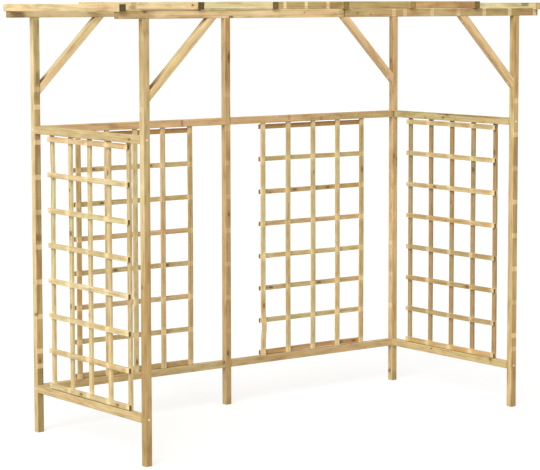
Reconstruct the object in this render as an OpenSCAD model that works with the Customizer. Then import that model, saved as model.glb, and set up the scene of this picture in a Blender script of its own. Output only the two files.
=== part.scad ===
// Timber garden arch: U-shaped plan with an open front, trellis on the two
// sides and the back, and cross rafters on top.
// X runs along the front from left to right, Y from front to back, Z up.
// The origin is on the ground, at the centre of the plan. Millimetres.

/* [Overall] */
// Width over the outer faces of the end posts
frame_w = 2380; // [1900:10:3000]
// Depth over the outer faces of the front and back posts
frame_d = 1015; // [840:5:1400]
// Height from the ground to the underside of the beams
headroom = 2087; // [1700:1:2500]

/* [Posts] */
// Side of the square posts
post_s = 36; // [30:1:60]

/* [Beams] */
// Thickness of the beams, from front to back
beam_t = 36; // [30:1:60]
// Height of the beams
beam_h = 40; // [34:1:80]
// Length of beam beyond the outer face of an end post
beam_overhang = 132; // [40:1:250]
// Gap between the two halves of a beam
beam_joint_gap = 0.8; // [0:0.1:0.9]

/* [Rafters] */
// Number of rafters
rafters = 7; // [3:1:11]
// Width of a rafter
rafter_w = 36; // [30:1:60]
// Height of a rafter
rafter_h = 36; // [30:1:80]
// Length of rafter beyond the outer face of a beam
rafter_overhang = 16; // [5:1:120]
// How far an outer rafter stands out past the end of the beams
rafter_side_overhang = 6; // [2:1:20]
// Depth of the housing that lets an outer rafter into a beam end
housing_depth = 8; // [2:1:14]
// Play between an outer rafter and the shoulder of its housing
housing_play = 0.3; // [0:0.1:0.9]

/* [Braces] */
// Length of post and of beam that a brace spans from their corner
brace_leg = 380; // [200:5:480]
// Width of a brace in the plane of its frame
brace_w = 36; // [25:1:60]
// Thickness of a brace
brace_t = 36; // [25:1:36]

/* [Rails] */
// Thickness of the rails
rail_t = 36; // [28:1:36]
// Height of the rails
rail_h = 38; // [30:1:80]
// Height from the ground to the underside of the lower rails
lower_rail_z = 203; // [60:1:400]
// Height of the open band between the upper rails and the beams
open_band = 539; // [490:1:800]

/* [Trellis] */
// Width of a trellis panel, over the ends of its cross laths
panel_w = 721; // [500:1:780]
// Spacing that the laths are set out to, both ways
mesh_pitch = 176; // [90:1:260]
// Width of a lath
lath_w = 25; // [16:1:40]
// Thickness of a lath
lath_t = 14; // [8:1:14]
// How far the cross laths run past the end uprights
lath_overrun = 3; // [0:1:40]
// Slot between a lower rail and the lowest cross lath
low_slot = 3; // [1:0.5:20]
// Slot between the highest cross lath and an upper rail
high_slot = 8; // [1:0.5:20]

/* [Finish] */
// Radius of the softly rounded arrises of posts, beams, rafters, rails and braces
arris_r = 3; // [1:0.5:6]

/* [Hidden] */
$fn = 32;
side_names = ["left", "right"];

// Centre lines of the posts
post_x = (frame_w - post_s) / 2;
post_y = (frame_d - post_s) / 2;

// Beams and rafters
beam_half = frame_w / 2 + beam_overhang;
beam_y = post_y;
rafter_len = 2 * (beam_y + beam_t / 2 + rafter_overhang);
outer_rafter_x = beam_half + rafter_side_overhang - rafter_w / 2;
rafter_pitch = 2 * outer_rafter_x / (rafters - 1);
rafter_seat_z = headroom + beam_h;
housing_len = rafter_w - rafter_side_overhang + housing_play;

// Rails, and the clear bays between posts and between rails
upper_rail_z = headroom - open_band - rail_h;
side_bay = 2 * post_y - post_s;
back_bay = post_x - post_s;
back_bay_x = post_x / 2;
panel_z = lower_rail_z + rail_h;
panel_h = upper_rail_z - panel_z;

// Laths of a panel, set out evenly as near to mesh_pitch as they divide
upright_span = panel_w - 2 * lath_overrun - lath_w;
uprights = max(2, round(upright_span / mesh_pitch) + 1);
upright_pitch = upright_span / (uprights - 1);
cross_span = panel_h - low_slot - high_slot - lath_w;
cross_laths = max(2, round(cross_span / mesh_pitch) + 1);
cross_pitch = cross_span / (cross_laths - 1);

post_tone = "#DDBB7F";
beam_tone = "#D6A85F";
rafter_tone = "#E2BC74";
brace_tone = "#E0B268";
rail_tone = "#D3AC68";
lath_tone = "#D9B77A";

// Section of a planed timber, w by h, with rounded arrises
module planed_section(w, h) {
    square([w - 2 * arris_r, h], center = true);
    square([w, h - 2 * arris_r], center = true);
    for (x = [-1, 1], y = [-1, 1])
        translate([x * (w / 2 - arris_r), y * (h / 2 - arris_r)])
            circle(arris_r);
}

// Timber lying along X from x = 0 to x = len, centred on Y and standing on z = 0
module timber_x(len, w, h) {
    translate([0, 0, h / 2])
        rotate([90, 0, 90])
            linear_extrude(len)
                planed_section(w, h);
}

// Timber lying along Y, centred on the origin and standing on z = 0
module timber_y(len, w, h) {
    rotate([0, 0, 90])
        translate([-len / 2, 0, 0])
            timber_x(len, w, h);
}

// Post at plan position [x, y]
module post(x, y) {
    color(post_tone)
        translate([x, y, 0])
            linear_extrude(headroom)
                planed_section(post_s, post_s);
}

// Half of a beam, housed for the outer rafter. side: -1 left, 1 right
module beam_half_piece(side, y) {
    color(beam_tone)
        translate([0, y, 0])
            mirror([side < 0 ? 1 : 0, 0, 0])
                difference() {
                    translate([beam_joint_gap / 2, 0, headroom])
                        timber_x(beam_half - beam_joint_gap / 2, beam_t, beam_h);
                    translate([beam_half - housing_len, -beam_t, rafter_seat_z - housing_depth])
                        cube([2 * housing_len, 2 * beam_t, 2 * housing_depth]);
                }
}

// Rafter number i from the left; the outer two lie in the housings
module rafter(i) {
    drop = (i == 1 || i == rafters) ? housing_depth : 0;
    color(rafter_tone)
        translate([-outer_rafter_x + (i - 1) * rafter_pitch, 0, rafter_seat_z - drop])
            timber_y(rafter_len, rafter_w, rafter_h);
}

// Mitred brace in the corner of an end post and a beam. side: -1 left, 1 right
module brace(side, y) {
    outer_edge = brace_leg * sqrt(2);
    color(brace_tone)
        translate([side * (post_x - post_s / 2), y, headroom])
            mirror([side > 0 ? 1 : 0, 0, 0])
                intersection() {
                    translate([0, 0, -brace_leg])
                        rotate([0, -45, 0])
                            timber_x(outer_edge, brace_t, brace_w);
                    translate([0, -brace_t, -brace_leg])
                        cube([brace_leg, 2 * brace_t, brace_leg]);
                }
}

// Rail between a front and a back post. side: -1 left, 1 right
module side_rail(side, z) {
    color(rail_tone)
        translate([side * post_x, 0, z])
            timber_y(side_bay, rail_t, rail_h);
}

// Rail between an end post and the middle post of the back
module back_rail(side, z) {
    color(rail_tone)
        translate([side * back_bay_x - back_bay / 2, post_y, z])
            timber_x(back_bay, rail_t, rail_h);
}

// Trellis panel in the XZ plane: uprights in the -Y layer, cross laths in the +Y layer
module trellis() {
    color(lath_tone) {
        for (i = [0 : uprights - 1])
            translate([i * upright_pitch - upright_span / 2 - lath_w / 2, -lath_t, panel_z])
                cube([lath_w, lath_t, panel_h]);
        for (k = [0 : cross_laths - 1])
            translate([-panel_w / 2, 0, panel_z + low_slot + k * cross_pitch])
                cube([panel_w, lath_t, lath_w]);
    }
}

module side_trellis(side) {
    translate([side * post_x, 0, 0])
        rotate([0, 0, 90])
            trellis();
}

module back_trellis(side) {
    translate([side * back_bay_x, post_y, 0])
        trellis();
}

post(0, post_y);  // post_back_middle
for (s = [0, 1]) {
    side = 2 * s - 1;
    name = side_names[s];
    post(side * post_x, -post_y);
    post(side * post_x, post_y);
    beam_half_piece(side, -beam_y);
    beam_half_piece(side, beam_y);
    brace(side, -post_y);
    brace(side, post_y);
    side_rail(side, upper_rail_z);
    side_rail(side, lower_rail_z);
    back_rail(side, upper_rail_z);
    back_rail(side, lower_rail_z);
    side_trellis(side);
    back_trellis(side);
}
for (i = [1 : rafters])
    rafter(i);
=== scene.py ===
# %% [markdown]
# # A timber garden arch in planed, pressure-treated pine
# The arch is a fixed frame: five square posts, four beams, seven rafters, four braces, eight rails
# and four trellis panels. Its construction is already modelled as solids at their real size. This
# script keeps those solids where they are and gives every timber its own pine, makes the trellis
# from single laths, adds staples and screws, and lights the arch as in a plain studio.

# %% Load the arch
import math
import random

import bmesh
import bpy
from mathutils import Euler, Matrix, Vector


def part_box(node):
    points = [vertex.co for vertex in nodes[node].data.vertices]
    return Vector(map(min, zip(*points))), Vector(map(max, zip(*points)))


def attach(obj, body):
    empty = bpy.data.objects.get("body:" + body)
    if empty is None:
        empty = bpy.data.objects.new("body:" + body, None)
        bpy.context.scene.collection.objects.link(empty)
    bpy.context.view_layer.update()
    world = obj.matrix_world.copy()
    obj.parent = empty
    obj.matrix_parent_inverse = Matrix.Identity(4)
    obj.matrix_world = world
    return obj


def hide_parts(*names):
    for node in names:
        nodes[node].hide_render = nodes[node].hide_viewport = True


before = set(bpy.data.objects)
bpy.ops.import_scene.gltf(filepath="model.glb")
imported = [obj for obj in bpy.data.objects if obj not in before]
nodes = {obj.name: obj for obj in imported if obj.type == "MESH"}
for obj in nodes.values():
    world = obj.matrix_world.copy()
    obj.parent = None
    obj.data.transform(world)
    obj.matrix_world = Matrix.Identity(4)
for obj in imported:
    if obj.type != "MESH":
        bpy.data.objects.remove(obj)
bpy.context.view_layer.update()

print("timbers and panels:", len(nodes))


# %% [markdown]
# ## Camera
# A tall frame looks calm through a long lens from well back: the posts stay nearly upright and
# the far side isn't much smaller than the near one. A small downward lens shift keeps the camera
# almost level, which keeps the posts parallel, while the feet still come into view.

# %% Camera
CAMERA_PLACE = (-6.461, -8.429, 2.178)
CAMERA_HEADING = math.radians(37.15)
CAMERA_PITCH = math.radians(5.335)
CAMERA_ROLL = math.radians(0.1)
CAMERA_LENS = 137.85
CAMERA_SHIFT = -0.08

camera = bpy.data.objects.new("camera", bpy.data.cameras.new("camera"))
bpy.context.scene.collection.objects.link(camera)
camera.location = CAMERA_PLACE
camera.rotation_euler = (math.pi / 2 - CAMERA_PITCH, CAMERA_ROLL, -CAMERA_HEADING)
camera.data.lens = CAMERA_LENS
camera.data.shift_y = CAMERA_SHIFT
bpy.context.scene.camera = camera
bpy.context.scene.view_settings.view_transform = "Standard"
print("camera stands", round(Vector(CAMERA_PLACE).length, 1), "m away with a lens of", CAMERA_LENS)


# %% [markdown]
# ## Building shader nodes in code
# Every material below is a small network of nodes. A Flow is what comes out of a node, and plain
# arithmetic with it adds the nodes that work the result out, so the recipes read as formulas.

# %% Flows between nodes
class Flow:
    """What comes out of a node; arithmetic with it adds more nodes."""

    def __init__(self, socket):
        self.socket = socket
        self.tree = socket.id_data

    def __add__(self, other):
        return maths("ADD", self, other)

    def __sub__(self, other):
        return maths("SUBTRACT", self, other)

    def __rsub__(self, other):
        return maths("SUBTRACT", other, self)

    def __mul__(self, other):
        return maths("MULTIPLY", self, other)

    def __truediv__(self, other):
        return maths("DIVIDE", self, other)

    def __abs__(self):
        return maths("ABSOLUTE", self)


def fill(socket, value):
    """Links a socket to a flow, or gives it a plain value."""
    if isinstance(value, Flow):
        value.tree.links.new(value.socket, socket)
    else:
        socket.default_value = value


def add_node(tree, kind, sockets, *outputs, **settings):
    """Adds a shader node, fills sockets by name or number, and returns the outputs asked for."""
    made = tree.nodes.new("ShaderNode" + kind)
    for name, value in settings.items():
        setattr(made, name, value)
    for socket, value in sockets.items():
        fill(made.inputs[socket], value)
    flows = [Flow(made.outputs[output]) for output in outputs]
    return flows if len(flows) > 1 else flows[0]


def tree_of(values):
    """The tree that the flows among these values belong to."""
    return next(value.tree for value in values if isinstance(value, Flow))


def maths(operation, *values):
    """Arithmetic on numbers and flows."""
    return add_node(tree_of(values), "Math", dict(enumerate(values)), 0, operation=operation)


def biggest(first, *others):
    """The biggest of these values."""
    for value in others:
        first = maths("MAXIMUM", first, value)
    return first


def vectors(operation, *values, output="Vector"):
    """Arithmetic on vectors; a length or a dot product comes out as Value."""
    return add_node(tree_of(values), "VectorMath", dict(enumerate(values)), output,
                    operation=operation)


def split(vector):
    """The three parts of a vector."""
    return add_node(vector.tree, "SeparateXYZ", {0: vector}, 0, 1, 2)


def object_place(tree):
    """The place of a point on its piece, in metres, which is also its place on the arch."""
    return add_node(tree, "TexCoord", {}, "Object")


# %% Patterns and colours
def step(value, start, end, low=0.0, high=1.0):
    """Goes smoothly from low to high while value goes from start to end."""
    limits = dict(enumerate((value, start, end, low, high)))
    return add_node(value.tree, "MapRange", limits, 0, interpolation_type="SMOOTHSTEP")


def between(value, first, last, edge, strength=1.0):
    """Rises to strength where value is between first and last; its edges are 2 x edge wide."""
    rise = step(value, first - edge, first + edge)
    return rise * step(value, last + edge, last - edge, 0.0, strength)


def noise(where, scale, seed, detail=2.0, roughness=0.5, output="Fac"):
    """Noise between 0 and 1 whose features are 1 / scale long on each axis."""
    sockets = {"Vector": vectors("MULTIPLY", where, scale), "W": seed, "Scale": 1.0,
               "Detail": detail, "Roughness": roughness}
    return add_node(where.tree, "TexNoise", sockets, output, noise_dimensions="4D")


def blend(share, first, second, how="MIX"):
    """Mixes two colours."""
    values = {0: share, 6: first, 7: second}
    return add_node(tree_of(values.values()), "Mix", values, 2, data_type="RGBA", blend_type=how)


def times(share, colour, factor):
    """The colour multiplied by factor, as far as share says."""
    return blend(share, colour, factor, "MULTIPLY")


def ramp(value, colours):
    """A plain colour, or a list from its first to its last through (place, colour) pairs."""
    if not isinstance(colours, list):
        return colours
    made = add_node(value.tree, "ValToRGB", {0: value}, 0)
    elements = made.socket.node.color_ramp.elements
    elements[0].color, elements[1].color = colours[0], colours[-1]
    for place, colour in colours[1:-1]:
        elements.new(place).color = colour
    return made


def grey(level):
    """A colour without a tint."""
    return (level, level, level, 1.0)


def paint(red, green, blue):
    """A colour given from 0 to 255 as on a screen, as the linear colour that shaders take."""
    def linear(value):
        """The light that one channel stands for."""
        share = value / 255
        return share / 12.92 if share <= 0.04045 else ((share + 0.055) / 1.055) ** 2.4
    return (linear(red), linear(green), linear(blue), 1.0)


def new_material(name):
    """A material and its tree of nodes."""
    material = bpy.data.materials.new(name)
    material.use_nodes = True
    return material, material.node_tree


# %% [markdown]
# ## Studio light
# A big soft key light comes from the left, a little from the front and from above, and an even sky
# stands for the white walls of the studio. The key is a sun lamp with a wide angle, which lights
# the floor evenly out to its edge.
#
# The backdrop should look white, but a white world would flood the timber with light. The Light
# Path node tells what a ray is for: what the camera sees, directly or in a gloss, is white, and
# what lights the wood is dimmer.

# %% World and lamps
SKY_LIGHT = 0.60
SKY_TINT = (1.0, 0.97, 0.90, 1.0)
KEY_STRENGTH = 2.9
KEY_ANGLE = math.radians(40)
KEY_DIRECTION = Vector((-0.74, -0.44, 0.60))


def seen_ray(tree):
    """1 for what is seen directly, in a gloss or through glass; 0 for what only lights."""
    kinds = ("Is Camera Ray", "Is Glossy Ray", "Is Transmission Ray")
    return biggest(*add_node(tree, "LightPath", {}, *kinds))


world = bpy.data.worlds.new("studio")
bpy.context.scene.world = world
world.use_nodes = True
sky = world.node_tree.nodes["Background"]
seen = seen_ray(world.node_tree)
fill(sky.inputs["Color"], blend(seen, SKY_TINT, grey(1.0)))
fill(sky.inputs["Strength"], step(seen, 0.0, 1.0, SKY_LIGHT, 1.0))

key = bpy.data.objects.new("key_light", bpy.data.lights.new("key_light", "SUN"))
bpy.context.scene.collection.objects.link(key)
key.data.energy = KEY_STRENGTH
key.data.angle = KEY_ANGLE
key.rotation_euler = KEY_DIRECTION.to_track_quat("Z", "Y").to_euler()
print("lamps:", key.name, "and an even sky of", SKY_LIGHT)


# %% [markdown]
# The floor is one big pale disc. To the camera it adds a little glow of its own, so that it comes
# out white where it is fully lit and still shows the soft shadow of the arch. To the light it is
# plain pale paint, which throws a soft fill light up under the beams.

# %% Floor
FLOOR_RADIUS = 60.0
FLOOR_SIDES = 96
FLOOR_PAINT = (0.54, 0.49, 0.41, 1.0)
FLOOR_SHADOW = 0.34
FLOOR_GLOW = 0.70

bpy.ops.object.select_all(action="DESELECT")
bpy.ops.mesh.primitive_circle_add(vertices=FLOOR_SIDES, radius=FLOOR_RADIUS, fill_type="NGON")
floor = bpy.context.object
floor.name = "floor"
floor_white, tree = new_material("floor_white")
tree.nodes.remove(tree.nodes["Principled BSDF"])
plain = add_node(tree, "BsdfDiffuse", {"Color": FLOOR_PAINT}, 0)
shadow = add_node(tree, "BsdfDiffuse", {"Color": grey(FLOOR_SHADOW)}, 0)
glow = add_node(tree, "Emission", {"Strength": FLOOR_GLOW}, 0)
glowing = add_node(tree, "AddShader", {0: shadow, 1: glow}, 0)
choice = add_node(tree, "MixShader", {0: seen_ray(tree), 1: plain, 2: glowing}, 0)
fill(tree.nodes["Material Output"].inputs["Surface"], choice)
floor.data.materials.append(floor_white)
print("floor radius in metres:", FLOOR_RADIUS)


# %% [markdown]
# ## Pine
# Planed pine shows three things at once. Growth rings are tubes round the pith, the centre of the
# tree, and a timber sawn beside the pith cuts them into long stripes and flames. Fibres are fine
# streaks along the length. Knots are branches, which leave the pith and push the rings aside.
#
# A flat picture can't follow all sides of a timber, so the pattern is made in three dimensions:
# the shader asks where a point lies in the log, and every face and end then agrees with the
# next. In the timber's own space X runs along the fibres and the pith lies at minus Y.

# %% Place in the log
PITH_DEPTH = (0.035, 0.075)
PITH_DRIFT = (1.1, 5.0, 5.0)
PITH_SWING = 0.034


def log_place(where, seed, pith):
    """The place along the log, the angle round the pith and the distance from it."""
    drift = noise(where, PITH_DRIFT, seed, roughness=0.4, output="Color")
    aside = [(part - 0.5) * PITH_SWING for part in split(drift)[:2]]
    along, out, across = split(where)
    out = out + aside[0] + pith
    across = across + aside[1]
    return along, maths("ARCTAN2", across, out), maths("SQRT", out * out + across * across)


# %% Scattered knots
KNOT_SPACING = 0.15
KNOT_SMALLEST = 0.0005
KNOT_LARGEST = 0.0065
KNOT_LENGTHENING = 1.7
KNOT_DISORDER = 0.85
KNOTLESS = 0.55
KNOT_SHIFTS = (17.13, 3.71)
KNOT_EDGE = (1.1, 0.7)
SMALL_KNOT_HALO = 3.4


def knot_and_halo(gap, radius, halo, edge=KNOT_EDGE):
    """How far a point is in a knot of this radius, and in the halo of pushed wood round it."""
    outside, inside, reach = [radius * share for share in (*edge, halo)]
    return step(gap, outside, inside), step(gap, reach, inside)


def scattered_knots(along, angle, seed, pith, size):
    """Small branches at random: the distance to the nearest, how far inside it, and its halo."""
    places = (along / (KNOT_SPACING * KNOT_LENGTHENING), angle * pith / KNOT_SPACING)
    shifted = [seed * shift + place for shift, place in zip(KNOT_SHIFTS, places)]
    spot = add_node(seed.tree, "CombineXYZ", dict(enumerate(shifted)), 0)
    sockets = {"Vector": spot, "Scale": 1.0, "Randomness": KNOT_DISORDER}
    distance, colour = add_node(seed.tree, "TexVoronoi", sockets, "Distance", "Color",
                                voronoi_dimensions="2D")
    chance = add_node(seed.tree, "SeparateColor", {0: colour}, 0)
    gap = distance * KNOT_SPACING
    radius = step(chance, KNOTLESS, 1.0, KNOT_SMALLEST, KNOT_LARGEST) * size
    return gap, *knot_and_halo(gap, radius, SMALL_KNOT_HALO)


# %% Growth rings and fibres
RING_WIDTH = 0.0042
KNOT_RING_WIDTH = 0.0016
RING_BULGE = 0.007
RING_SHIFT = 5.3
YEAR = [grey(0.0), (0.45, grey(0.15)), (0.80, grey(1.0)), (0.92, grey(0.85)), grey(0.0)]
FINE_FIBRES = (5.0, 620.0, 620.0)
BROAD_FIBRES = (1.6, 110.0, 110.0)


def growth_rings(radius, seed, gap, inside, halo):
    """0 in the pale spring wood, rising to 1 in the narrow dark line of each year's late wood."""
    years = (halo * RING_BULGE + radius) / RING_WIDTH
    both = add_node(seed.tree, "Mix", {0: inside, 2: years, 3: gap / KNOT_RING_WIDTH}, 0,
                    data_type="FLOAT")
    return ramp(maths("FRACT", seed * RING_SHIFT + both), YEAR)


def fibres(where, seed):
    """Fine and broad streaks along the timber, about 0.5 on average."""
    return (noise(where, FINE_FIBRES, seed, detail=3.0) + noise(where, BROAD_FIBRES, seed)) * 0.5


# %% [markdown]
# Pressure treatment leaves its own signs. It gives pine a faint green cast that comes and goes,
# soaks deep into the end grain and turns it olive brown, and can't reach the places where one
# timber of the stack lay on the next. Those stay as pale bands across a face.
#
# All of that is one node group, so that every timber shares the same recipe, and each timber
# chooses its own tone, pith, knots and seed. Mark and Mark Halo are for knots at chosen places.

# %% The colours and patterns of pine
GREEN_CAST = (0.92, 1.00, 0.86, 1.0)
PINK_CAST = (1.05, 0.94, 0.88, 1.0)
LATE_WOOD = (0.82, 0.73, 0.60, 1.0)
HEARTWOOD = (0.78, 0.66, 0.52, 1.0)
DARK_GRAIN = (0.76, 0.68, 0.54, 1.0)
PALE_GRAIN = (1.20, 1.19, 1.15, 1.0)
RESIN_STREAK = (0.86, 0.78, 0.66, 1.0)
CUT_RING = (0.45, 0.42, 0.40, 1.0)
KNOT_WOOD = paint(122, 84, 42)
KNOT_RIM = paint(82, 56, 26)
PALE_BAND = paint(238, 218, 172)
HEART_EDGE = 0.009
CAST_PATCHES = (2.3, 14.0, 14.0)
CLOUDS = (9.0, 45.0, 45.0)
RESIN_LINES = (1.3, 210.0, 210.0)


def tint(wood, colour, pattern, start, end, strength):
    """The wood multiplied by a colour, as far as the pattern has come from start to end."""
    return times(step(pattern, start, end, 0.0, strength), wood, colour)


def wood_colour(given, streak, late, radius, inside, halo):
    """Lays the colours over each other, from the broad patches to the knots."""
    where, seed = given["Where"], given["Seed"]
    cast = noise(where, CAST_PATCHES, seed)
    cloud = noise(where, CLOUDS, seed, detail=3.0)
    resin = noise(where, RESIN_LINES, seed, detail=1.0)
    wood = tint(given["Tone"], HEARTWOOD, radius - given["Heart"], HEART_EDGE, -HEART_EDGE, 0.75)
    wood = tint(wood, GREEN_CAST, cast, 0.42, 0.30, 0.9)
    wood = tint(wood, PINK_CAST, cast, 0.54, 0.68, 0.9)
    wood = times(late * 0.75, wood, LATE_WOOD)
    wood = blend(given["Band"], wood, blend(0.25, PALE_BAND, wood))
    for pattern, strength in ((streak, 1.0), (cloud, 0.9)):
        wood = tint(wood, DARK_GRAIN, pattern, 0.50, 0.30, strength)
        wood = tint(wood, PALE_GRAIN, pattern, 0.50, 0.70, strength)
    wood = tint(wood, RESIN_STREAK, resin, 0.60, 0.72, 0.55)
    wood = times(halo * 0.7, wood, HEARTWOOD)
    wood = blend(inside * 0.85, wood, blend(late * 0.6, KNOT_WOOD, KNOT_RIM))
    wood = blend(inside * (1.0 - inside) * 3.0, wood, KNOT_RIM)
    return blend(given["End"], wood, times(late * 0.55, given["End Tone"], CUT_RING))


# %% The pine recipe as a node group
GROUP_SOCKETS = (
    ("INPUT", "Vector", ("Where",)),
    ("INPUT", "Color", ("Tone", "End Tone")),
    ("INPUT", "Float", ("Seed", "Pith", "Heart", "Knots", "Mark", "Mark Halo", "Band", "End")),
    ("OUTPUT", "Color", ("Color",)),
    ("OUTPUT", "Float", ("Roughness", "Height")),
)
WOOD_ROUGHNESS = 0.50


def pine_group():
    """Builds the recipe: the rings, knots and fibres first, then what comes from them."""
    tree = bpy.data.node_groups.new("pine", "ShaderNodeTree")
    for side, kind, names in GROUP_SOCKETS:
        for name in names:
            tree.interface.new_socket(name, in_out=side, socket_type="NodeSocket" + kind)
    given = {socket.name: Flow(socket) for socket in tree.nodes.new("NodeGroupInput").outputs}
    result = tree.nodes.new("NodeGroupOutput").inputs
    where, seed, pith = given["Where"], given["Seed"], given["Pith"]

    along, angle, radius = log_place(where, seed, pith)
    gap, inside, halo = scattered_knots(along, angle, seed, pith, given["Knots"])
    inside = biggest(inside, given["Mark"])
    halo = biggest(halo, given["Mark Halo"])
    late = growth_rings(radius, seed, gap, inside, halo)
    streak = fibres(where, seed)
    roughness = streak * 0.22 - late * 0.08 - inside * 0.14 + given["End"] * 0.25 + WOOD_ROUGHNESS
    fill(result["Color"], wood_colour(given, streak, late, radius, inside, halo))
    fill(result["Roughness"], roughness)
    fill(result["Height"], streak + late * 0.45 + inside * 0.5)
    return tree


pine = pine_group()
print("nodes in the pine recipe:", len(pine.nodes))


# %% [markdown]
# ## What sets one timber apart
# The recipe needs the timber's own space. A Mapping node of type Texture takes Object coordinates
# to it: it subtracts the timber's centre and turns the rest, so that X follows the length. Roll
# turns the log round its length and so chooses which face is nearest to the pith.
#
# The tone changes along the length, and can be another one on the front and back faces than on
# the sides. Pale bands cross one face, some knots, stains and thin lines of painted shade sit at
# chosen places, and the cut ends, which drank most of the treatment, are dark with a paler middle.

# %% Faces of a timber
FRONT = (0.0, -1.0, 0.0)
LEFT = (-1.0, 0.0, 0.0)
FACING = (0.6, 0.8)


def facing(tree, direction, both=False):
    """1 where the surface looks in this direction, or in the opposite one too if both is true."""
    normal = add_node(tree, "NewGeometry", {}, "Normal")
    value = vectors("DOT_PRODUCT", normal, direction, output="Value")
    return step(abs(value) if both else value, *FACING)


def axes_of(face, axis):
    """The axis that a face looks along, and the one that runs across it."""
    side = next(i for i in range(3) if face[i])
    return side, 3 - axis - side


# %% Pale bands where other timber lay
BAND_PITCH = 0.176
BAND_WIDTH = 0.025
BAND_EDGE = 0.002
BANDS_END = 0.025
BANDS_EDGE = 0.005
BAND_CHANCE = 0.8


def band_at(off):
    """1 where off, the distance from the middle of a band, is less than half its width."""
    return step(off, BAND_WIDTH / 2 + BAND_EDGE, BAND_WIDTH / 2 - BAND_EDGE)


def band_mask(along, seed, face, first, last, strength, *extra):
    """Evenly spaced bands on one face from first to last, and extra ones, of uneven strength."""
    length = last - first
    pitch = length / round(length / BAND_PITCH)
    shifted = along - first
    bands = band_at(maths("PINGPONG", shifted, pitch / 2))
    bands = bands * between(shifted, -BANDS_END, length + BANDS_END, BANDS_EDGE)
    bands = biggest(bands, *[band_at(abs(along - place)) for place in extra])
    number = maths("ROUND", shifted / (pitch / 2)) + seed
    chance = add_node(along.tree, "TexWhiteNoise", {"W": number}, "Value", noise_dimensions="1D")
    return bands * step(chance, 0.0, BAND_CHANCE, strength / 2, strength) * facing(along.tree, face)


# %% Knots at chosen places
KNOT_LEAN = 1.5
KNOT_HALO = 3.0


def knot_marks(where, to_log, timber, axis, knots_here):
    """Branches through one face each, given as (face, place along, share across, radius)."""
    low, high = timber
    centre = (low + high) / 2
    mark = halo = 0.0
    for face, along, across, radius in knots_here:
        side, free = axes_of(face, axis)
        point = centre.copy()
        point[axis] = along
        point[side] = high[side] if face[side] > 0 else low[side]
        point[free] += across * (high[free] - low[free])
        branch = Vector(face)
        branch[axis] += KNOT_LEAN
        off = vectors("SUBTRACT", where, to_log @ (point - centre))
        aside = vectors("CROSS_PRODUCT", off, to_log @ branch.normalized())
        gap = vectors("LENGTH", aside, output="Value")
        near, round_it = knot_and_halo(gap, radius, KNOT_HALO)
        mark, halo = biggest(mark, near), biggest(halo, round_it)
    return mark, halo


# %% Stains and painted shade at chosen places
PATCH_EDGE = 0.012
PATCH_SIDE = 0.003


def stained_or_shaded(tone, timber, axis, share, face, along, colour, strength, across=None):
    """The tone with a soft patch on one face; across is shares of its width from the middle."""
    low, high = timber
    place = share * (high[axis] - low[axis]) + low[axis]
    inside = between(place, *along, min(PATCH_EDGE, (along[1] - along[0]) / 2), strength)
    if across:
        free = axes_of(face, axis)[1]
        middle, width = (low[free] + high[free]) / 2, high[free] - low[free]
        first, last = [middle + value * width for value in across]
        inside = inside * between(split(object_place(share.tree))[free], first, last, PATCH_SIDE)
    return blend(inside * facing(share.tree, face), tone, colour)


# %% The cut ends
END_RIM = 0.0015
RIM_SHARE = 0.3
END_DEPTH = 0.0016
END_SKIN = 0.0002
END_MIDDLE = (1.5, 1.5, 1.6, 1.0)
END_PALENESS = 0.6
END_FADE = (0.7, 0.1)
END_MID = paint(140, 120, 70)


def section_masks(tree, timber, axis):
    """How near a point is to the middle of the section, and 1 everywhere but along its edges."""
    low, high = timber
    place = split(object_place(tree))
    middle, inside = END_PALENESS, 1.0
    for i in range(3):
        if i != axis:
            half = (high[i] - low[i]) / 2
            off = abs(place[i] - (low[i] + half))
            middle = step(off, *[half * share for share in END_FADE]) * middle
            inside = step(off, half, half - END_RIM, RIM_SHARE, 1.0) * inside
    return middle, inside


# %% Material of one timber
BUMP_HEIGHT = 0.0004
BUMP_STRENGTH = 0.6
WAVER = (6.0, 60.0, 60.0)
WAVER_REACH = 0.06


def wood_shader(tree, recipe_inputs):
    """Puts the pine recipe into a material's shader; recipe_inputs fills the recipe's sockets."""
    colour, roughness, height = add_node(tree, "Group", recipe_inputs, 0, 1, 2, node_tree=pine)
    bump = {"Strength": BUMP_STRENGTH, "Distance": BUMP_HEIGHT, "Height": height}
    shader = tree.nodes["Principled BSDF"].inputs
    fill(shader["Base Color"], colour)
    fill(shader["Roughness"], roughness)
    fill(shader["Normal"], add_node(tree, "Bump", bump, 0))


def timber_tone(timber, axis, where, share, length, seed, look):
    """The timber's colours, with edges that waver along the fibres, its stains and its painted shade."""
    reach = WAVER_REACH / length
    uneven = noise(where, WAVER, seed, detail=3.0) * reach + (share - reach / 2)
    tone = ramp(uneven, look["tone"])
    if "front" in look:
        tone = blend(facing(share.tree, FRONT, both=True), tone, ramp(uneven, look["front"]))
    for stain_or_shade in look.get("stains_and_shade", ()):
        narrow = stain_or_shade[1][1] - stain_or_shade[1][0] < 2 * PATCH_EDGE
        tone = stained_or_shaded(tone, timber, axis, share if narrow else uneven, *stain_or_shade)
    return tone


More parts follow.
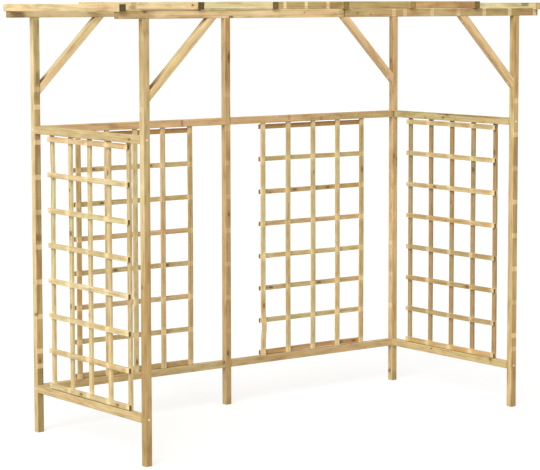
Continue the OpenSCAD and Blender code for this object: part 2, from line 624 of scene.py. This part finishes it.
def timber_material(name, timber, turn, axis, length, seed, look, pith):
    """Pine for one timber; look is its entry in the list of timbers."""
    material, tree = new_material(name + "_pine")
    centre = (timber[0] + timber[1]) / 2
    mapping = {"Vector": object_place(tree), "Location": centre, "Rotation": turn}
    where = add_node(tree, "Mapping", mapping, 0, vector_type="TEXTURE")
    along = split(where)[0]
    middle, inside_rim = section_masks(tree, timber, axis)
    end = step(abs(along), length / 2 - END_DEPTH, length / 2 - END_SKIN)
    inputs = {
        "Where": where, "Seed": seed, "Pith": pith, "Knots": look.get("scatter", 1.0),
        "Tone": timber_tone(timber, axis, where, along / length + 0.5, length, seed, look),
        "End Tone": times(middle, look.get("end", END_MID), END_MIDDLE),
        "End": end * inside_rim,
    }
    if "bands" in look:
        inputs["Band"] = band_mask(along + centre[axis], seed, *look["bands"])
    if "knots" in look:
        to_log = Euler(turn).to_matrix().inverted()
        marks = knot_marks(where, to_log, timber, axis, look["knots"])
        inputs["Mark"], inputs["Mark Halo"] = marks
    wood_shader(tree, inputs)
    return material


# %% [markdown]
# Each entry below says how one timber looks. A tone is one colour, or a list that starts and ends
# with the colours of the two ends and has pairs of a share of the length and a colour between. It
# goes from the foot to the top of a post or brace, from left to right on a beam or back rail and
# from front to back on a rafter or side rail. Bands, knots, stains and painted shade are placed
# along the arch's own axis: by height on a post, by the way from the middle on a beam. Bands are a
# face, the first and the last place, a strength and places of extra ones. A stain or a patch of
# painted shade is a face, the two places that it lies between, a colour and a strength, and what
# it covers of the width if that isn't all.

# %% Tones of the timbers
PALE = paint(234, 214, 170)
CREAM = paint(216, 198, 155)
STRAW = paint(199, 180, 133)
LEMON = paint(205, 199, 157)
SAND = paint(197, 173, 128)
PEACH = paint(228, 200, 156)
ROSE = paint(216, 184, 140)
HONEY = paint(187, 161, 109)
TAN = paint(198, 164, 112)
LICHEN = paint(191, 171, 119)
MOSSY = paint(197, 184, 136)
OLIVE = paint(172, 153, 102)
DEEP_OLIVE = paint(163, 140, 89)
BROWN = paint(174, 144, 96)
RUSSET = paint(168, 128, 86)
# The first dark brown serves streaks in the wood and painted shade; the second is painted shade.
DARK_STREAK_AND_SHADE = paint(124, 91, 46)
SHADOW = paint(96, 72, 40)
MOSS = paint(112, 108, 62)
END_DARK = paint(86, 74, 36)
END_OLIVE = paint(116, 98, 52)
END_TAN = paint(158, 136, 86)
END_ORANGE = paint(168, 133, 80)
END_PALE = paint(196, 178, 126)

TIMBERS = {
    # Most posts darken towards the foot: partly their own tone, partly painted shade.
    "post_front_left": dict(tone=[OLIVE, (0.2, BROWN), (0.4, HONEY), (0.55, CREAM), (0.75, CREAM),
            (0.85, STRAW), (0.92, HONEY), HONEY],
        front=[BROWN, (0.2, HONEY), (0.5, HONEY), (0.56, SAND), (0.9, STRAW), SAND], roll=35,
        stains_and_shade=((FRONT, (0.86, 0.97), RUSSET, 0.6, (-0.1, 0.45)), (FRONT, (2.01, 2.04), BROWN, 0.7),
            (LEFT, (1.98, 2.02), MOSSY, 0.6), (FRONT, (1.09, 1.45), BROWN, 0.4, (0.1, 0.7))),
        bands=(LEFT, 1.318, 1.67, 0.35), knots=((LEFT, 0.843, 0.1, 0.004),)),
    "post_front_right": dict(tone=[STRAW, (0.4, SAND), (0.7, STRAW), LICHEN],
        front=[BROWN, (0.4, HONEY), (0.62, BROWN), (0.69, BROWN), (0.71, STRAW), (0.79, SAND),
            (0.82, HONEY), (0.9, HONEY), (0.94, TAN), TAN], roll=80,
        bands=(FRONT, 0.385, 1.638, 0.8, 0.313),
        stains_and_shade=((LEFT, (0.58, 0.63), MOSSY, 0.7), (FRONT, (1.78, 2.05), RUSSET, 0.6, (-0.5, -0.2)),
            (FRONT, (1.28, 1.45), RUSSET, 0.4, (-0.2, 0.5)))),
    "post_back_left": dict(tone=[STRAW, (0.4, CREAM), (0.82, CREAM), (0.9, PALE), PALE],
        front=[DEEP_OLIVE, (0.15, DEEP_OLIVE), (0.18, BROWN), (0.24, HONEY), (0.34, OLIVE), (0.42, BROWN),
            (0.52, OLIVE), (0.66, OLIVE), (0.69, RUSSET), (0.75, SAND), (0.79, HONEY), (0.81, DEEP_OLIVE),
            (0.86, MOSSY), MOSSY], roll=4,
        stains_and_shade=((FRONT, (0.975, 1.01), DARK_STREAK_AND_SHADE, 0.8), (FRONT, (1.75, 1.82), MOSS, 0.5, (-0.2, 0.7)),
            (FRONT, (1.12, 1.3), BROWN, 0.7, (-0.3, 0.1))),
        bands=(FRONT, 0.414, 1.643, 0.9, 0.338, 1.731)),
    "post_back_middle": dict(tone=SAND, roll=60,
        front=[HONEY, (0.65, HONEY), (0.7, SAND), (0.8, SAND), (0.84, BROWN), (0.91, BROWN), (0.94, TAN),
            TAN], bands=(FRONT, 0.4, 1.67, 0.4),
        stains_and_shade=((FRONT, (1.83, 1.9), DARK_STREAK_AND_SHADE, 0.6, (0.0, 0.7)), (FRONT, (0.97, 1.12), RUSSET, 0.6,
            (-0.1, 0.5))),
        knots=((FRONT, 1.87, 0.2, 0.006), (FRONT, 1.03, 0.1, 0.005), (FRONT, 0.28, -0.1, 0.007))),
    "post_back_right": dict(tone=[STRAW, (0.6, ROSE), (0.78, SAND), (0.85, BROWN), HONEY],
        front=[HONEY, (0.3, SAND), (0.45, ROSE), (0.56, ROSE), (0.59, HONEY), (0.64, HONEY), (0.67, SAND),
            (0.72, ROSE), ROSE],
        stains_and_shade=((FRONT, (0.0, 0.05), MOSS, 0.4), (LEFT, (1.21, 1.33), HONEY, 0.7), (FRONT, (1.27, 1.3),
            DARK_STREAK_AND_SHADE, 0.4, (-0.7, 0.1))), roll=-60, bands=(LEFT, 0.434, 0.974, 0.6),
        knots=((FRONT, 1.27, 0.45, 0.007), (FRONT, 1.24, 0.42, 0.004))),
    # Thin dark lines on the front beams, under the rafters and at the joint, are painted shade.
    "front_beam_left": dict(tone=PALE, front=[SAND, (0.13, SAND), (0.16, PEACH), (0.5, PALE), ROSE],
        roll=190,
        stains_and_shade=((FRONT, (-0.03, -0.004), HONEY, 0.8), (FRONT, (-0.004, 0.0), SHADOW, 0.8), (FRONT,
            (-1.2, -0.86), SHADOW, 0.8, (0.38, 0.7)), (FRONT, (-0.82, -0.46), SHADOW, 0.7,
            (0.38, 0.7)), (FRONT, (-1.0, -0.8), BROWN, 0.35, (-0.7, -0.3))), end=END_TAN,
        knots=((FRONT, -1.179, 0.3, 0.006), (FRONT, -0.69, -0.4, 0.007), (FRONT, -0.249, 0.1, 0.002))),
    "front_beam_right": dict(tone=STRAW, front=[LICHEN, (0.5, SAND), (0.8, OLIVE), (0.95, BROWN), RUSSET],
        roll=20, bands=(FRONT, 0.394, 1.3, 0.8, 0.321),
        stains_and_shade=((FRONT, (0.0, 0.45), OLIVE, 0.5, (-0.7, -0.2)), (FRONT, (0.7, 1.1), BROWN, 0.6,
            (0.3, 0.7)), (FRONT, (0.0, 0.004), SHADOW, 0.8)),
        knots=((FRONT, 0.085, 0.0, 0.0025), (FRONT, 0.17, -0.2, 0.0025))),
    # The dark patch at the left end of the back beam is painted shadow, under rafter 1.
    "back_beam_left": dict(tone=CREAM, roll=100, end=END_TAN,
        stains_and_shade=((FRONT, (-1.33, -1.24), DARK_STREAK_AND_SHADE, 0.6),)),
    "back_beam_right": dict(tone=CREAM, roll=150, end=END_ORANGE),
    "rafter_1": dict(tone=[CREAM, (0.12, ROSE), (0.3, CREAM), (0.5, CREAM), PALE], end=END_DARK),
    # The dark lines low on rafters 2 and 3 are painted shade along their lower edges.
    "rafter_2": dict(tone=CREAM, end=END_DARK,
        stains_and_shade=((LEFT, (0.0, 0.05), MOSS, 0.5), (LEFT, (-0.52, -0.02), DARK_STREAK_AND_SHADE, 0.8, (-0.7, -0.42))),
        knots=((LEFT, -0.48, 0.1, 0.005),)),
    "rafter_3": dict(tone=LEMON, end=END_OLIVE,
        stains_and_shade=((LEFT, (-0.52, -0.02), SHADOW, 0.7, (-0.7, -0.42)),)),
    "rafter_4": dict(tone=OLIVE, stains_and_shade=((LEFT, (-0.51, -0.41), DARK_STREAK_AND_SHADE, 0.4),),
        bands=(LEFT, -0.401, -0.052, 0.9)),
    "rafter_5": dict(tone=OLIVE, end=END_ORANGE,
        stains_and_shade=((LEFT, (-0.5, -0.1), BROWN, 0.5, (-0.7, -0.2)),)),
    "rafter_6": dict(tone=[RUSSET, (0.15, BROWN), HONEY], end=END_OLIVE,
        stains_and_shade=((LEFT, (-0.52, -0.4), DARK_STREAK_AND_SHADE, 0.4, (-0.7, 0.1)),)),
    "rafter_7": dict(tone=LEMON, end=END_PALE, stains_and_shade=((LEFT, (-0.47, -0.41), MOSS, 0.8, (0.0, 0.7)),)),
    # The dark feet of the two left braces are painted shade, where each meets its post.
    "brace_front_left": dict(tone=[DARK_STREAK_AND_SHADE, (0.12, DARK_STREAK_AND_SHADE), (0.22, BROWN), (0.34, STRAW),
            (0.8, STRAW), BROWN], front=[PEACH, (0.5, PEACH), PALE], scatter=0.6),
    "brace_front_right": dict(tone=PEACH, front=PEACH, scatter=1.3),
    "brace_back_left": dict(tone=[DARK_STREAK_AND_SHADE, (0.13, DARK_STREAK_AND_SHADE), (0.22, CREAM), (0.8, CREAM), HONEY],
        front=PALE, scatter=0.5),
    "brace_back_right": dict(tone=PEACH, front=PEACH, scatter=0.8),
    "upper_rail_left": dict(tone=STRAW, knots=((LEFT, -0.385, 0.0, 0.005),),
        stains_and_shade=((LEFT, (0.04, 0.09), MOSSY, 0.6),)),
    # The dark lines along the top of the right upper rail and at its back end are painted shade.
    "upper_rail_right": dict(tone=MOSSY, knots=((LEFT, 0.049, -0.1, 0.005), (LEFT, 0.016, 0.45, 0.007)),
        stains_and_shade=((LEFT, (-0.4, 0.1), DARK_STREAK_AND_SHADE, 0.6, (0.3, 0.7)), (LEFT, (-0.48, 0.48), DARK_STREAK_AND_SHADE, 0.5,
            (0.38, 0.7)), (LEFT, (0.459, 0.472), SHADOW, 0.8))),
    "lower_rail_left": dict(tone=STRAW),
    "lower_rail_right": dict(tone=STRAW),
    "upper_rail_back_left": dict(tone=ROSE,
        stains_and_shade=((FRONT, (-0.75, -0.7), BROWN, 0.6), (FRONT, (-0.305, -0.289), RUSSET, 0.8))),
    "upper_rail_back_right": dict(tone=SAND, front=[ROSE, SAND],
        stains_and_shade=((FRONT, (0.403, 0.419), RUSSET, 0.8, (-0.2, 0.7)), (FRONT, (0.626, 0.642), RUSSET, 0.8,
            (-0.7, 0.1)))),
    "lower_rail_back_left": dict(tone=STRAW),
    "lower_rail_back_right": dict(tone=SAND),
}


# %% Give every timber its pine
def log_turn(name, axis, roll):
    """The turn that takes the timber's own space, with X along the fibres, to the arch's space."""
    if name.startswith("brace"):
        tilt, heading = (45 if name.endswith("left") else 135), 0
    else:
        tilt, heading = ((0, 0), (0, 90), (90, 0))[axis]
    return (math.radians(roll), -math.radians(tilt), math.radians(heading))


for number, (name, look) in enumerate(TIMBERS.items()):
    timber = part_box(name)
    sides = timber[1] - timber[0]
    axis = max(range(3), key=lambda i: sides[i])
    chance = random.Random(number)
    roll = look.get("roll", chance.uniform(0, 360))
    length = sides.x * math.sqrt(2) if name.startswith("brace") else sides[axis]
    material = timber_material(name, timber, log_turn(name, axis, roll), axis, length,
                               number + 1.0, look, chance.uniform(*PITH_DEPTH))
    for slot in nodes[name].material_slots:
        slot.material = material
print("timbers with their own pine:", len(TIMBERS))


# %% [markdown]
# ## Trellis laths
# Each panel is a lattice of sawn laths in two layers, five uprights on one side and eight cross
# laths on the other. The solid that stands for it is fused and dead straight, but real laths are
# thin enough to bow a little, and that is what makes a trellis look like wood.
#
# So one lath is modelled by hand: a cube stretched to size, its four long edges cut into short
# stretches so that it can bend, and its edges bevelled. Then it is copied to each place and bowed
# with proportional editing, in the plane of the panel only, so that the two layers keep touching.

# %% Helpers for modelling
def pick_only(*pieces):
    """Selects these objects and nothing else."""
    bpy.ops.object.select_all(action="DESELECT")
    for piece in pieces:
        piece.select_set(True)
    bpy.context.view_layer.objects.active = pieces[0]


def pick_parts(piece, kind, wanted):
    """In edit mode, selects the vertices, edges or faces that pass the test wanted."""
    bpy.ops.mesh.select_mode(type=kind)
    mesh = bmesh.from_edit_mesh(piece.data)
    parts = {"VERT": mesh.verts, "EDGE": mesh.edges, "FACE": mesh.faces}[kind]
    for part in parts:
        part.select_set(wanted(part))
    mesh.select_flush_mode()
    bmesh.update_edit_mesh(piece.data)


def stretched_cube(name, sides):
    """A cube of this size round the origin, to start a piece from."""
    bpy.ops.object.select_all(action="DESELECT")
    bpy.ops.mesh.primitive_cube_add(size=1)
    made = bpy.context.object
    made.name = name
    made.scale = sides
    bpy.ops.object.transform_apply()
    return made


def copy_of(pattern, number):
    """A copy of an object with its own mesh."""
    made = pattern.copy()
    made.data = pattern.data.copy()
    made.name = f"{pattern.name}_{number}"
    bpy.context.scene.collection.objects.link(made)
    return made


def join_as(name, pieces):
    """Applies the places of the pieces and joins them into one object with this name."""
    pick_only(*pieces)
    bpy.ops.object.transform_apply()
    bpy.ops.object.join()
    joined = bpy.context.object
    joined.name = name
    joined.data.name = name
    return joined


# %% One lath, lying along X with its width upright
LATH_WIDTH = 0.025
LATH_ARRIS = 0.0013
LATH_CUTS = 15
TOUCH = 1e-5


def make_lath(name, length, thickness):
    """A straight lath with its length cut into short stretches and its edges eased."""
    lath = stretched_cube(name, (length, thickness, LATH_WIDTH))

    def lengthwise(edge):
        """True for an edge along the lath."""
        return abs(edge.verts[0].co.x - edge.verts[1].co.x) > length / (4 * LATH_CUTS)

    def at_end(edge):
        """True for an edge round an end of the lath."""
        return all(abs(abs(vertex.co.x) - length / 2) < TOUCH for vertex in edge.verts)

    bpy.ops.object.mode_set(mode="EDIT")
    pick_parts(lath, "EDGE", lengthwise)
    bpy.ops.mesh.subdivide(number_cuts=LATH_CUTS)
    pick_parts(lath, "EDGE", lambda edge: lengthwise(edge) or at_end(edge))
    bpy.ops.mesh.bevel(offset=LATH_ARRIS, segments=2)
    bpy.ops.object.mode_set(mode="OBJECT")
    return lath


# %% Grain and bow of one lath
def write_values(piece, name, kind, values):
    """Stores a value for each vertex under a name that a material can read."""
    layer = piece.data.attributes.new(name, kind, "POINT")
    field = {"FLOAT": "value", "FLOAT_VECTOR": "vector", "FLOAT_COLOR": "color"}[kind]
    layer.data.foreach_set(field, values)


def remember_grain(lath, length, phase, number, tone, knots):
    """Keeps each vertex's place in the straight lath, because the pine has to follow the bow."""
    points = [vertex.co.copy() for vertex in lath.data.vertices]
    places = [value for point in points for value in (point.x + phase, point.y, point.z)]
    ends = [1.0 if abs(point.x) > length / 2 - TOUCH else 0.0 for point in points]
    knots = [knots[0] + phase, knots[1] + phase, 0.0]
    write_values(lath, "grain", "FLOAT_VECTOR", places)
    write_values(lath, "end_grain", "FLOAT", ends)
    write_values(lath, "lath_number", "FLOAT", [float(number)] * len(points))
    write_values(lath, "lath_tone", "FLOAT_COLOR", list(tone) * len(points))
    write_values(lath, "lath_knots", "FLOAT_VECTOR", knots * len(points))


def bow(lath, height, where, reach):
    """Pulls the ring of vertices nearest to where sideways, and its neighbours with it."""
    rings = sorted({round(vertex.co.x, 5) for vertex in lath.data.vertices})
    ring = min(rings, key=lambda place: abs(place - where))
    pick_only(lath)
    bpy.ops.object.mode_set(mode="EDIT")
    pick_parts(lath, "VERT", lambda vertex: abs(vertex.co.x - ring) < 10 * TOUCH)
    bpy.ops.transform.translate(value=(0, 0, height), use_proportional_edit=True,
                                proportional_edit_falloff="SMOOTH", proportional_size=reach)
    bpy.ops.object.mode_set(mode="OBJECT")


# %% [markdown]
# The laths come from other boards than the posts, and each has its own tone, given by a letter:
# pale, cream, sand, apricot, green, honey, olive, brown or red. The uprights are listed from the
# front on a side panel and from the left on a back one, and the cross laths from the lowest. A
# lath may have one or two knots. Two laths are visibly bent, and a bend is how far, the place of
# its middle and its reach. Places along a lath are given from its middle.

# %% Tones, bends and knots of the panels
LATH_TONES = {
    "P": paint(222, 209, 172),
    "C": paint(217, 203, 160),
    "S": paint(206, 190, 146),
    "A": paint(216, 193, 152),
    "G": paint(208, 193, 146),
    "H": paint(202, 178, 128),
    "O": paint(180, 161, 117),
    "B": paint(176, 151, 109),
    "R": paint(192, 156, 104),
}
NO_KNOT = 9.0

PANELS = {
    "trellis_left": dict(
        upright="SCCCC", cross="SSCPSCCA",
        bends={("upright", 4): (0.007, 0.42, 0.24)},
        knots={("upright", 1): (0.48,), ("upright", 3): (-0.2,), ("cross", 0): (0.064, -0.261)}),
    "trellis_right": dict(
        upright="BBBBO", cross="HOOOHSSS",
        knots={("upright", 0): (0.48, 0.42), ("upright", 3): (-0.1,), ("cross", 2): (-0.15,),
               ("cross", 5): (0.12,)}),
    "trellis_back_left": dict(
        upright="HACAH", cross="HSAGAGGR",
        knots={("upright", 1): (-0.1,), ("cross", 3): (-0.12, 0.2), ("cross", 5): (-0.2,),
               ("cross", 6): (-0.25, 0.1)}),
    "trellis_back_right": dict(
        upright="CGGCH", cross="RSSCAHGR",
        bends={("upright", 0): (-0.008, -0.47, 0.10)},
        knots={("upright", 0): (-0.36,), ("upright", 4): (0.35,), ("cross", 0): (0.2, 0.3),
               ("cross", 2): (-0.287, 0.048), ("cross", 5): (-0.12, 0.11)}),
}


# %% Where the laths of a panel go
UPRIGHTS = 5
CROSS_LATHS = 8
LATH_OVERRUN = 0.003
LOW_SLOT = 0.003
HIGH_SLOT = 0.008


def panel_grid(node):
    """Width, height and lath thickness of a panel, and the places of its laths from the centre."""
    low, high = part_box(node)
    sides = high - low
    width, height, thickness = max(sides.x, sides.y), sides.z, min(sides.x, sides.y) / 2
    outer = width / 2 - LATH_OVERRUN - LATH_WIDTH / 2
    lowest = LOW_SLOT + LATH_WIDTH / 2 - height / 2
    highest = height / 2 - HIGH_SLOT - LATH_WIDTH / 2
    aside = [outer * (2 * i / (UPRIGHTS - 1) - 1) for i in range(UPRIGHTS)]
    heights = [lowest + (highest - lowest) * i / (CROSS_LATHS - 1) for i in range(CROSS_LATHS)]
    return width, height, thickness, aside, heights


def put_in_place(piece, node):
    """Moves a piece modelled in the XZ plane to its panel, turned if the panel is at a side."""
    low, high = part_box(node)
    if high.y - low.y > high.x - low.x:
        piece.rotation_euler.z = math.pi / 2
    piece.location = (low + high) / 2
    bpy.ops.object.transform_apply()
    return piece


# %% One panel
LATH_BOWS = {"upright": (0.0025, -0.2, 0.3), "cross": (0.0018, -0.2, 0.2)}
FIRST_NUMBERS = {"upright": 0, "cross": 20}
PANEL_NUMBERS = 100
BOW_SEED = 40


def one_lath(pattern, kind, i, look, length, phase, number, bend):
    """A copy of the straight lath with its own grain, tone, knots and bends."""
    lath = copy_of(pattern, i)
    knots = (*look["knots"].get((kind, i), ()), NO_KNOT, NO_KNOT)
    remember_grain(lath, length, phase, number + i, LATH_TONES[look[kind][i]], knots)
    bow(lath, *bend)
    if (kind, i) in look.get("bends", {}):
        bow(lath, *look["bends"][kind, i])
    return lath


def make_panel(node, number, look):
    """Makes and bows the laths of one panel and joins them."""
    width, height, thickness, aside, heights = panel_grid(node)
    chance = random.Random(BOW_SEED + number)
    laths = []
    for kind, length, phase, places in (("upright", height, -heights[0], aside),
                                        ("cross", width, 0.0, heights)):
        pattern = make_lath(kind, length, thickness)
        most, first, last = LATH_BOWS[kind]
        start = PANEL_NUMBERS * number + FIRST_NUMBERS[kind]
        for i, place in enumerate(places):
            bend = (chance.uniform(-most, most), chance.uniform(first, last), length / 2)
            lath = one_lath(pattern, kind, i, look, length, phase, start, bend)
            if kind == "upright":
                lath.rotation_euler = (0, -math.pi / 2, 0)
                lath.location = (place, -thickness / 2, 0)
            else:
                lath.location = (0, thickness / 2, place)
            laths.append(lath)
        bpy.data.objects.remove(pattern)
    return put_in_place(join_as(node + "_laths", laths), node)


# %% [markdown]
# The laths share one material. It reads the grain that each vertex carries, so the rings run
# along every lath and follow its bow, and the lath's number picks another log. At the crossings
# the laths stayed pale, and the treatment gathered in darker patches between them.

# %% Material of the laths
LATH_END = paint(116, 88, 44)
LATH_PITH = 0.028
LATH_HEART = 0.008
LATH_SCATTER = 1.2
SPOT_HALF = LATH_WIDTH / 2
SPOT_OUTER = 0.003
SPOT_INNER = 0.002
SPOT_STRENGTH = 0.6
GATHERED_FROM = 0.04
BETWEEN = (0.80, 0.71, 0.55, 1.0)
PATCHES = (9.0, 40.0, 40.0)
LATH_SEED = 0.731
LATH_KNOT = 0.0055
LATH_KNOT_LENGTH = 2.2
LATH_KNOT_EDGE = (1.2, 0.6)
LATH_KNOT_HALO = 3.5


def carried(tree, name, output="Fac"):
    """A value that the vertices of the laths carry."""
    return add_node(tree, "Attribute", {}, output, attribute_name=name)


def lath_knots(tree, along, across):
    """The two knots that a lath may carry on its broad faces."""
    mark = halo = 0.0
    for place in split(carried(tree, "lath_knots", "Vector"))[:2]:
        away = (along - place) / LATH_KNOT_LENGTH
        gap = maths("SQRT", away * away + across * across)
        near, round_it = knot_and_halo(gap, LATH_KNOT, LATH_KNOT_HALO, LATH_KNOT_EDGE)
        mark, halo = biggest(mark, near), biggest(halo, round_it)
    return mark, halo


def lath_material():
    """One pine for all laths, told apart by the values that their vertices carry."""
    material, tree = new_material("lath_pine")
    where = carried(tree, "grain", "Vector")
    seed = carried(tree, "lath_number") * LATH_SEED
    along, _, across = split(where)
    off = maths("PINGPONG", along, BAND_PITCH / 2)
    spot = step(off, SPOT_HALF + SPOT_OUTER, SPOT_HALF - SPOT_INNER, 0.0, SPOT_STRENGTH)
    patch = step(noise(where, PATCHES, seed), 0.45, 0.65)
    gathered = step(off, SPOT_HALF, GATHERED_FROM) * patch
    tone = times(gathered, carried(tree, "lath_tone", "Color"), BETWEEN)
    mark, halo = lath_knots(tree, along, across)
    wood_shader(tree, {
        "Where": where, "Seed": seed, "Tone": tone, "End Tone": LATH_END, "Pith": LATH_PITH,
        "Heart": LATH_HEART, "Knots": LATH_SCATTER, "Mark": mark, "Mark Halo": halo,
        "Band": spot, "End": carried(tree, "end_grain"),
    })
    return material


# %% All the panels
lath_pine = lath_material()
for number, (node, look) in enumerate(PANELS.items(), start=1):
    panel = make_panel(node, number, look)
    panel.data.materials.clear()
    panel.data.materials.append(lath_pine)
    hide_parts(node)
    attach(panel, "root")
    print(panel.name, "faces:", len(panel.data.polygons))


# %% [markdown]
# ## Staples and screws
# A staple holds the laths together at every crossing, shot in from the uprights' side. Bigger
# countersunk screws hold the frame: one through a corner post into the end of every rail it
# meets, one at each end of a brace, and one down through each rafter into each beam.
#
# A screw head is a short cylinder of 24 sides with a rounded rim. Its top face is inset, drawn in
# at every other pair of corners, which gives the six-lobed recess, and then pushed down. One head
# is modelled and copied to each place.

# %% Steel
STEEL_CLOUDS = (400.0, 400.0, 400.0)
DULL_ZINC = (0.8, 0.78, 0.72, 1.0)
SHINE_SPREAD = 0.2


def steel_material(name, colour, roughness):
    """Zinc-plated steel with a slightly uneven shine."""
    material, tree = new_material(name)
    shader = tree.nodes["Principled BSDF"].inputs
    cloud = noise(object_place(tree), STEEL_CLOUDS, 1.0)
    fill(shader["Metallic"], 1.0)
    fill(shader["Base Color"], tint(colour, DULL_ZINC, cloud, 0.4, 0.7, 0.5))
    fill(shader["Roughness"], cloud * SHINE_SPREAD + (roughness - SHINE_SPREAD / 2))
    return material


screw_steel = steel_material("screw_steel", paint(246, 240, 222), 0.50)
staple_steel = steel_material("staple_steel", paint(190, 186, 176), 0.45)
print("steels:", screw_steel.name, staple_steel.name)


# %% Staples at the crossings
STAPLE_LENGTH = 0.010
STAPLE_WIRE = 0.0012
STAPLE_ROUNDING = 0.0004
STAPLE_PROUD = 0.0005
STAPLE_TILT = 0.3
STAPLE_STRAY = 0.003
STAPLE_SEED = 70


def make_crown():
    """The crown of one staple, a wire with its outer edges rounded."""
    crown = stretched_cube("crown", (STAPLE_LENGTH, STAPLE_WIRE, STAPLE_WIRE))
    bpy.ops.object.mode_set(mode="EDIT")
    pick_parts(crown, "EDGE", lambda edge: edge.verts[0].co.y < 0 and edge.verts[1].co.y < 0)
    bpy.ops.mesh.bevel(offset=STAPLE_ROUNDING, segments=2)
    bpy.ops.object.mode_set(mode="OBJECT")
    crown.data.materials.append(staple_steel)
    return crown


def make_staples(node, number):
    """A panel's staples, one at each crossing, none of them quite level."""
    thickness, aside, heights = panel_grid(node)[2:]
    level = STAPLE_WIRE / 2 - STAPLE_PROUD - thickness
    crown = make_crown()
    chance = random.Random(STAPLE_SEED + number)
    crowns = []
    for i, x in enumerate(aside):
        for j, z in enumerate(heights):
            staple = copy_of(crown, 10 * i + j)
            staple.rotation_euler.y = chance.uniform(-STAPLE_TILT, STAPLE_TILT)
            shift = [chance.uniform(-STAPLE_STRAY, STAPLE_STRAY) for _ in range(2)]
            staple.location = (x + shift[0], level, z + shift[1])
            crowns.append(staple)
    bpy.data.objects.remove(crown)
    return put_in_place(join_as(node + "_staples", crowns), node)


for number, node in enumerate(PANELS, start=1):
    staples = make_staples(node, number)
    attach(staples, "root")
    print(staples.name, "faces:", len(staples.data.polygons))


# %% One screw head, standing on the XY plane
HEAD_SIDES = 24
HEAD_RADIUS = 0.0048
HEAD_SINK = 0.0004
HEAD_PROUD = 0.0009
HEAD_ROUNDING = 0.0005
RECESS_RADIUS = 0.0022
RECESS_WAIST = 0.72
RECESS_DEPTH = 0.0011


def on_rim(edge):
    """True for an edge round the top of the head."""
    return all(abs(vertex.co.z - HEAD_PROUD) < 1e-6 for vertex in edge.verts)


def on_top(face):
    """True for the face in the middle of the head, looking up."""
    return face.normal.z > 0.9 and face.calc_center_median().xy.length < TOUCH


def at_waist(vertex):
    """True for every other pair of the corners round the recess."""
    near = abs(vertex.co.xy.length - RECESS_RADIUS) < 10 * TOUCH
    near = near and abs(vertex.co.z - HEAD_PROUD) < TOUCH
    turn = math.atan2(vertex.co.y, vertex.co.x) % (2 * math.pi)
    return near and round(turn / (2 * math.pi) * HEAD_SIDES) % 4 >= 2


def make_screw_head():
    """A screw head with a rounded rim and a six-lobed recess."""
    bpy.ops.object.select_all(action="DESELECT")
    bpy.ops.mesh.primitive_cylinder_add(vertices=HEAD_SIDES, radius=HEAD_RADIUS,
                                        depth=HEAD_SINK + HEAD_PROUD,
                                        location=(0, 0, (HEAD_PROUD - HEAD_SINK) / 2))
    head = bpy.context.object
    head.name = "screw_head"
    bpy.ops.object.transform_apply()
    bpy.ops.object.mode_set(mode="EDIT")
    pick_parts(head, "EDGE", on_rim)
    bpy.ops.mesh.bevel(offset=HEAD_ROUNDING, segments=2)
    pick_parts(head, "FACE", on_top)
    bpy.ops.mesh.inset(thickness=HEAD_RADIUS - HEAD_ROUNDING - RECESS_RADIUS)
    pick_parts(head, "VERT", at_waist)
    bpy.ops.transform.resize(value=(RECESS_WAIST, RECESS_WAIST, 1),
                             center_override=(0, 0, HEAD_PROUD))
    pick_parts(head, "FACE", on_top)
    bpy.ops.mesh.extrude_region_move(TRANSFORM_OT_translate={"value": (0, 0, -RECESS_DEPTH)})
    bpy.ops.object.mode_set(mode="OBJECT")
    head.data.materials.append(screw_steel)
    return head


# %% Where the screws go
BRACE_SCREW = 0.068
TOP_SINK = 0.00075
UP = Vector((0, 0, 1))


def middle(name):
    """The centre of a node's box."""
    low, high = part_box(name)
    return (low + high) / 2


def rail_screws(level, side, way):
    """Through the corner posts into the ends of a side rail and of the back rail beside it."""
    height = middle(f"{level}_rail_{side}").z
    front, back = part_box(f"post_front_{side}"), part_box(f"post_back_{side}")
    centre = middle(f"post_back_{side}")
    outer = back[0].x if way < 0 else back[1].x
    return [
        (Vector((centre.x, front[0].y, height)), Vector((0, -1, 0))),
        (Vector((centre.x, back[1].y, height)), Vector((0, 1, 0))),
        (Vector((outer, centre.y, middle(f"{level}_rail_back_{side}").z)), Vector((way, 0, 0))),
    ]


def brace_screws(row, side, way):
    """Through the inner face of a brace, close to its two ends."""
    low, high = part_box(f"brace_{row}_{side}")
    leg = high.z - low.z
    corner = Vector((low.x if way < 0 else high.x, (low.y + high.y) / 2, high.z))
    inner = Vector((-way, 0, -1)).normalized()
    return [(corner + Vector((-way * leg * share, 0, -leg * (1 - share))), inner)
            for share in (BRACE_SCREW, 1 - BRACE_SCREW)]


def rafter_screws(rafter):
    """Down through a rafter into the two beams, with the head nearly flush."""
    low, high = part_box(rafter)
    return [(Vector(((low.x + high.x) / 2, middle(beam).y, high.z - TOP_SINK)), UP)
            for beam in ("front_beam_left", "back_beam_left")]


places = []
for side, way in (("left", -1), ("right", 1)):
    for level in ("upper", "lower"):
        places += rail_screws(level, side, way)
    for row in ("front", "back"):
        places += brace_screws(row, side, way)
for name in TIMBERS:
    if name.startswith("rafter"):
        places += rafter_screws(name)
print("screws:", len(places))


# %% Put a head on each place
head = make_screw_head()
heads = []
for number, (point, direction) in enumerate(places):
    screw = copy_of(head, number)
    screw.rotation_euler = direction.to_track_quat("Z", "Y").to_euler()
    screw.location = point
    heads.append(screw)
bpy.data.objects.remove(head)
screws = join_as("screws", heads)
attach(screws, "root")
print(screws.name, "faces:", len(screws.data.polygons))
